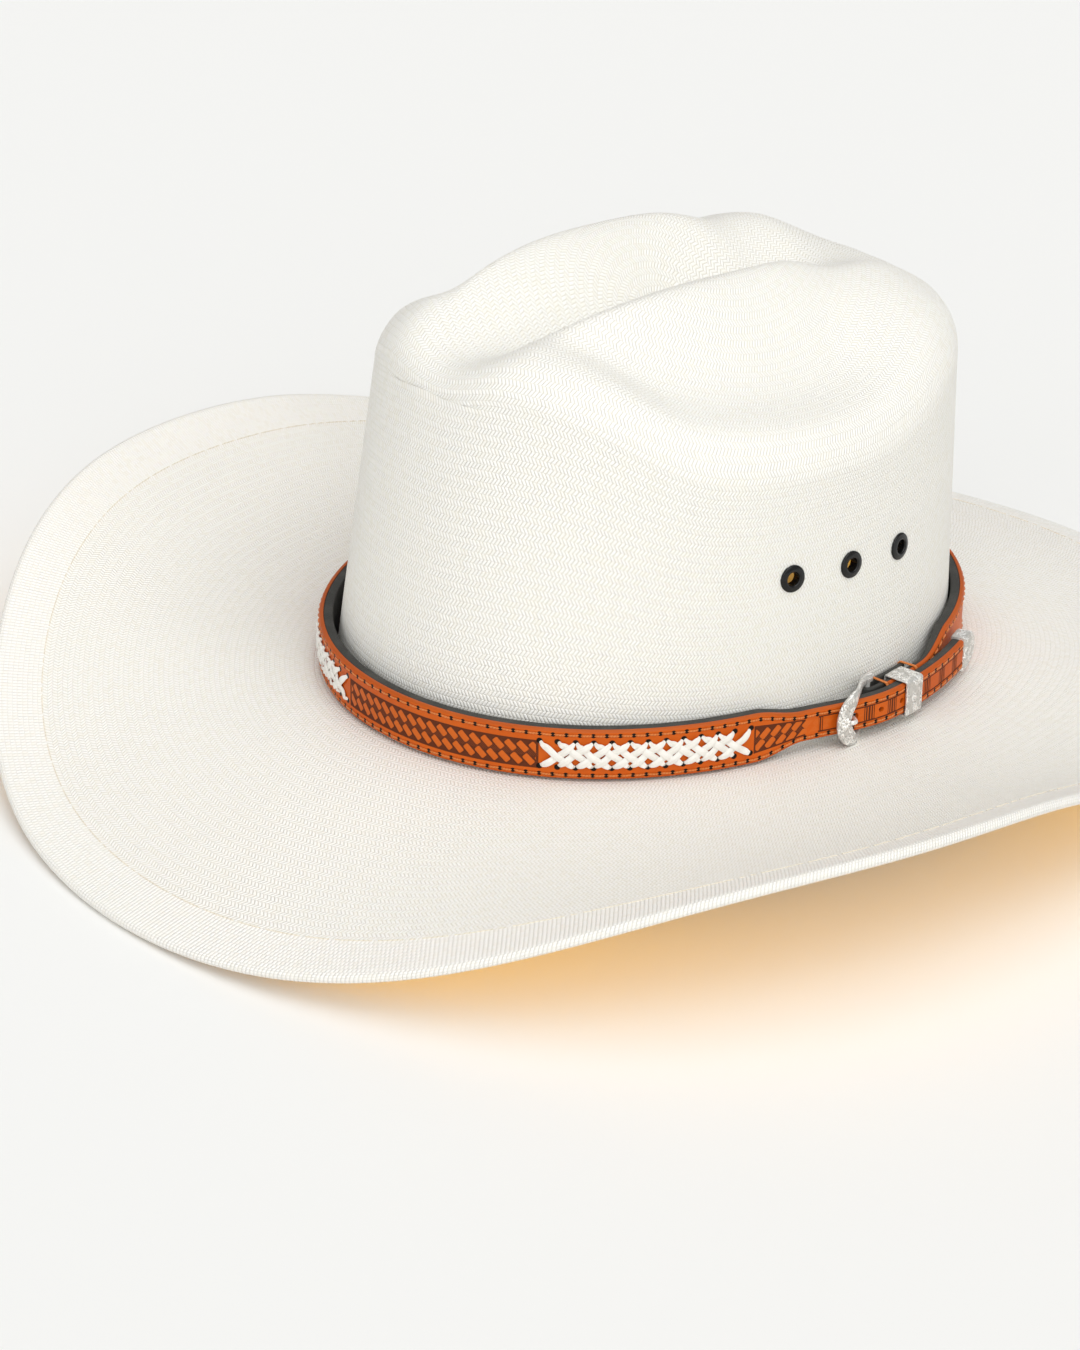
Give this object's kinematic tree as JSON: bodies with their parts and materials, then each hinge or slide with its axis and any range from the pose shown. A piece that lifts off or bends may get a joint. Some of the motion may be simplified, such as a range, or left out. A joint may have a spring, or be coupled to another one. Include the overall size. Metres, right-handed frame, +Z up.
{
  "type": "western straw hat",
  "caption": "Western straw hat with a creased crown, upswept wired brim, ventilation eyelets, sweatband and a buckled tooled and laced leather hatband.",
  "frame": {"origin": "middle of the hat's length and width, on the surface the hat rests on", "axes": "+Z up through the crown, -Y the front of the hat, +X the wearer's left"},
  "size_m": [0.3822, 0.4226, 0.1588],
  "materials": {
    "straw": "woven, satin",
    "wire": "drawn",
    "tan_thread": "matte",
    "white_thread": "matte",
    "orange_thread": "waxed",
    "sweat_leather": "smooth",
    "reed": "matte",
    "ribbon": "ribbed satin",
    "label": "woven",
    "lining_leather": "matte",
    "tooled_leather": "waxed",
    "rawhide": "satin",
    "eyelet_black": "gloss",
    "washer_steel": "plated",
    "silver": "engraved, polished"
  },
  "bodies": {
    "hat": {"straw_body": "straw", "brim_wire": "wire", "hem_thread": "tan_thread", "sweatband": "sweat_leather", "sweatband_reed": "reed", "sweatband_thread": "white_thread", "sweatband_bow": "ribbon", "size_label": "label", "eyelet_left_front": "eyelet_black", "washer_left_front": "washer_steel", "eyelet_left_middle": "eyelet_black", "washer_left_middle": "washer_steel", "eyelet_left_rear": "eyelet_black", "washer_left_rear": "washer_steel", "eyelet_right_front": "eyelet_black", "washer_right_front": "washer_steel", "eyelet_right_middle": "eyelet_black", "washer_right_middle": "washer_steel", "eyelet_right_rear": "eyelet_black", "washer_right_rear": "washer_steel"},
    "hatband": {"band_lining": "lining_leather", "band_face": "tooled_leather", "band_thread_upper": "orange_thread", "band_thread_lower": "orange_thread", "lace_left": "rawhide", "lace_front": "rawhide", "lace_right": "rawhide", "lace_back": "rawhide", "chape_loop_front": "orange_thread", "chape_loop_rear": "orange_thread", "strap_tip": "silver"},
    "buckle": {"buckle_frame": "silver", "buckle_bar": "silver"},
    "tongue": {"buckle_tongue": "silver"},
    "keeper": {"keeper": "silver"}
  },
  "joints": [
    {"name": "hatband_lift", "type": "slide", "parent": "hat", "child": "hatband", "axis": [0, 0, 1], "range_m": [0, 0.135]},
    {"name": "buckle_tilt", "type": "hinge", "parent": "hatband", "child": "buckle", "pos_m": [0.08903, 0.01163, 0.0366], "axis": [0, 0, 1], "range_deg": [0, 6]},
    {"name": "tongue_swing", "type": "hinge", "parent": "buckle", "child": "tongue", "pos_m": [0.08903, 0.01163, 0.0366], "axis": [0, 0, 1], "range_deg": [0, 6]},
    {"name": "keeper_slide", "type": "slide", "parent": "hatband", "child": "keeper", "axis": [-0.1824, 0.9832, 0], "range_m": [-0.0022, 0.0022]}
  ]
}
